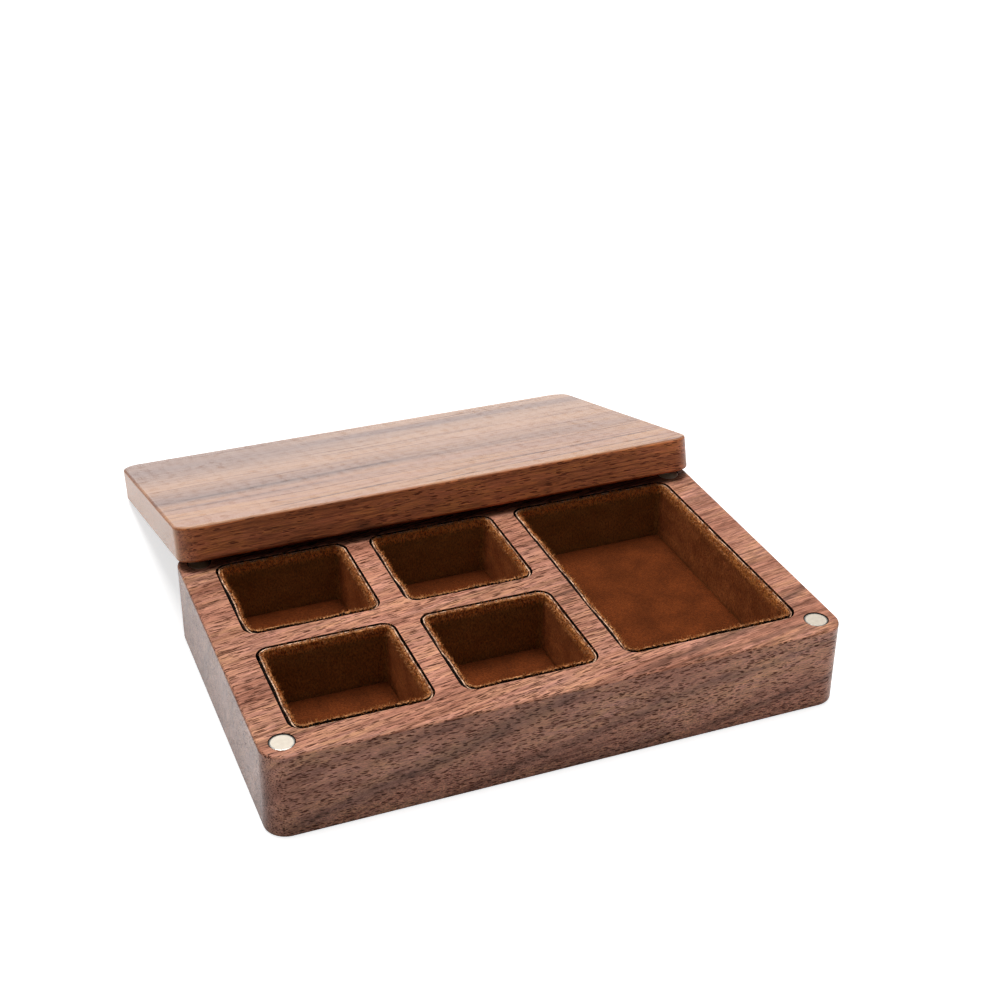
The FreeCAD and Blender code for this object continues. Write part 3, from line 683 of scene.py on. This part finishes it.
lid_walnut = walnut(
    "lid_walnut",
    turn=board_turn((1, 0.05, -LEAN * 0.05), (-0.03, 0.35 * math.cos(LEAN) + math.sin(LEAN), 0.9)),
    shift=(0, 30, 12), run_out=-0.02, wander=(4.0, 1.2),
    tones=(srgb(196, 120, 70), srgb(188, 110, 74), srgb(170, 98, 58), srgb(112, 60, 34), srgb(88, 42, 22)),
    streak=(0.5, 0.36, 0.53), band=(6.0, 0.32, 0.48, 0.8), pore_share=0.5, lean=LEAN, extra=lid_bands)
dress("lid_board", lid_walnut)


# ============================================================ lid magnets
# Four more of the same discs in the lid's underside, over the four in the base when it is closed.
# They lean with the lid, so their finish is tipped back by the same angle.
for corner in CORNERS:
    dress(f"lid_magnet_{corner}", nickel(f"lid_magnet_{corner}", SATIN[corner], LEAN))


# ============================================================ table, light and camera
# A white sweep on a table: one broad soft lamp overhead, a pale room low down and a darker one
# above, and a lens with the same view as a hand-held camera 0.3 m away.
bpy.ops.object.select_all(action="DESELECT")
bpy.ops.mesh.primitive_plane_add(size=6.0, location=(0, 0, 0))
table = bpy.context.object
table.name = "table"
table_white = new_material("table_white")
tree = table_white.node_tree
plain = add(tree, "ShaderNodeBsdfDiffuse", {"Color": grey(0.70)})
rays = add(tree, "ShaderNodeLightPath")
where = coordinates(tree)
depth = span_share(tree, split(tree, where)[1])
away = add(tree, "ShaderNodeVectorMath", {0: where}, operation="LENGTH").outputs["Value"]
seen = maths(tree, "MAXIMUM", ramp(tree, depth, (0.2, 0.80), (0.8, 0.66)),
             ramp(tree, away, (0.2, 0), (0.45, 1)))
seen = maths(tree, "MULTIPLY", rays.outputs["Is Camera Ray"], seen)
mirrored = ramp(tree, depth, (0.1, 0.08), (0.3, 0.36))
seen = maths(tree, "MULTIPLY_ADD", rays.outputs["Is Glossy Ray"], mirrored, seen)
glow = add(tree, "ShaderNodeEmission", {"Color": grey(1), "Strength": seen})
both = add(tree, "ShaderNodeAddShader", {0: plain.outputs[0], 1: glow.outputs[0]})
add(tree, "ShaderNodeOutputMaterial", {"Surface": both.outputs[0]})
table.data.materials.append(table_white)

world = bpy.data.worlds.new("studio")
bpy.context.scene.world = world
world.use_nodes = True
tree = world.node_tree
tree.nodes.clear()
rays = add(tree, "ShaderNodeLightPath")
_, back, up = split(tree, coordinates(tree, "Generated"))
gloss = ramp(tree, up, (0.24, 1.0), (0.38, 0.06))
ambient = ramp(tree, up, (0.0, 0.03), (0.18, 0.10), (0.5, 0.46), (1.0, 0.46))
behind = maths(tree, "ADD", back, maths(tree, "MULTIPLY", up, 0.8))
ambient = mix(tree, 1.0, ambient, ramp(tree, behind, (-0.5, 0.12), (0.35, 1.0)), "MULTIPLY")
gloss = mix(tree, 1.0, gloss, ramp(tree, behind, (0.05, 0.06), (0.4, 1.0)), "MULTIPLY")
lamp_patch = maths(tree, "MULTIPLY", maths(tree, "LESS_THAN", back, -0.3),
                   ramp(tree, up, (0.60, 0), (0.66, 1), (0.86, 1), (0.92, 0)))
gloss = mix(tree, lamp_patch, gloss, grey(1.4))
strength = mix(tree, rays.outputs["Is Glossy Ray"], ambient, gloss)
strength = mix(tree, rays.outputs["Is Camera Ray"], strength, grey(1.0))
sky = add(tree, "ShaderNodeBackground", {"Color": strength, "Strength": 1.0})
add(tree, "ShaderNodeOutputWorld", {"Surface": sky.outputs[0]})

lamp = bpy.data.lights.new("overhead", "AREA")
lamp.size, lamp.energy = 0.4, 5.9   # metres, watts
holder = bpy.data.objects.new("overhead", lamp)
bpy.context.scene.collection.objects.link(holder)
holder.location = (0.0, 0.16, 0.80)
holder.rotation_euler = (Vector((0, 0.02, 0)) - holder.location).to_track_quat("-Z", "Y").to_euler()

CAMERA_TURN, CAMERA_RISE, CAMERA_ROLL = -22.078, 29.315, 0.549   # degrees
STAND_OFF = Vector((0.133, 28.974, 294.045)) * MM                # from the box's middle, in the camera's axes
FOCAL_SHARE = 1.6634                                             # focal length over frame width
camera_data = bpy.data.cameras.new("camera")
camera_data.sensor_width = 36.0
camera_data.lens = 36.0 * FOCAL_SHARE
camera = bpy.data.objects.new("camera", camera_data)
bpy.context.scene.collection.objects.link(camera)
look = (Matrix.Rotation(math.radians(CAMERA_TURN), 4, "Z")
        @ Matrix.Rotation(math.radians(90 - CAMERA_RISE), 4, "X")
        @ Matrix.Rotation(math.radians(CAMERA_ROLL), 4, "Z"))
camera.matrix_world = Matrix.Translation(look @ STAND_OFF) @ look
bpy.context.scene.camera = camera
bpy.context.scene.view_settings.view_transform = "Standard"
